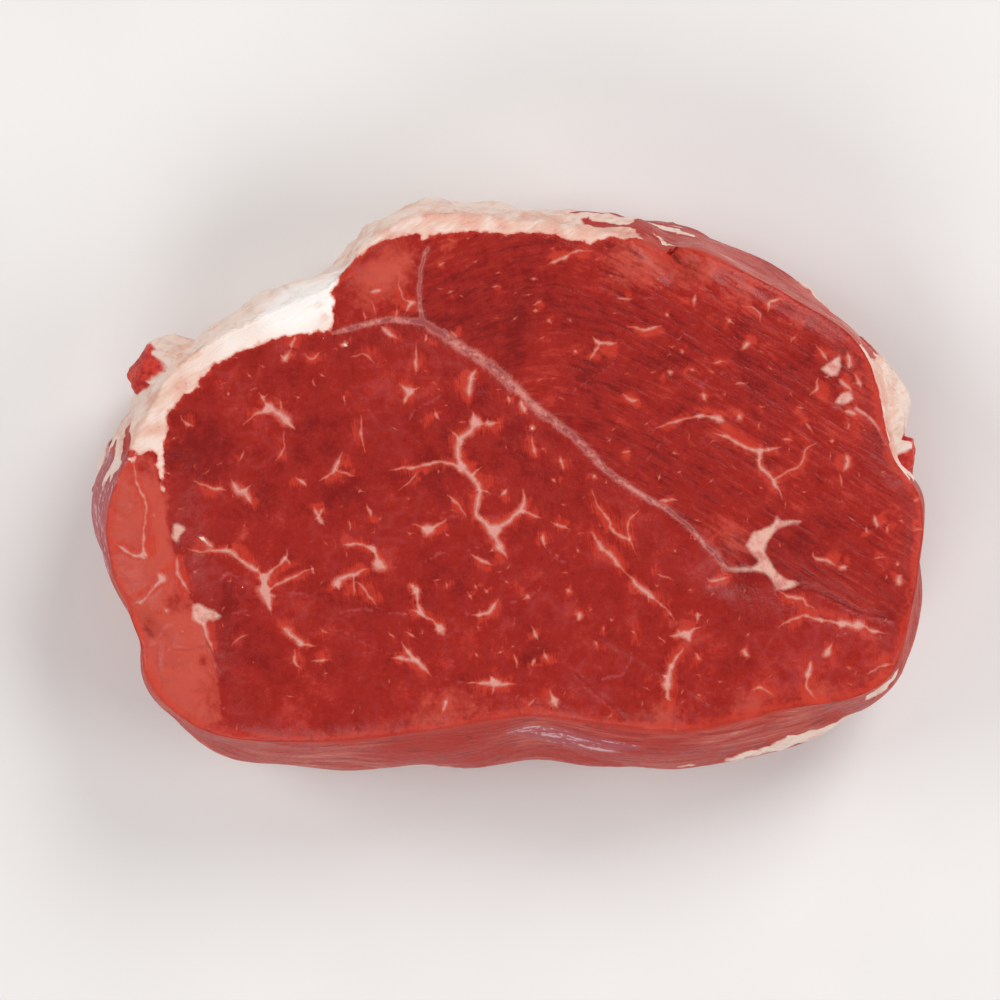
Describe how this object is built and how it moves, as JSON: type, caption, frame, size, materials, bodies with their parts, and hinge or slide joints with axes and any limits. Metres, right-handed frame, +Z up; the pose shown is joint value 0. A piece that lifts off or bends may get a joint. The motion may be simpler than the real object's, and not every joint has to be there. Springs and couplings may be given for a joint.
{
  "type": "raw beef shoulder roast",
  "caption": "Thick boneless slab of raw beef shoulder cut across the muscles, with a fat cap along one flank, marbled cut faces and sagging sides.",
  "frame": {"origin": "middle of the roast's length and width, on the flat underside it lies on", "axes": "+X along the length towards the end with the knob of fat, +Y towards the fat cap, +Z up out of the upper cut face"},
  "size_m": [0.2162, 0.1486, 0.0515],
  "materials": {
    "raw_beef": "moist lean meat with pale marbling, seams and a cap of fat"
  },
  "bodies": {
    "root": {"roast": "raw_beef"}
  },
  "joints": []
}
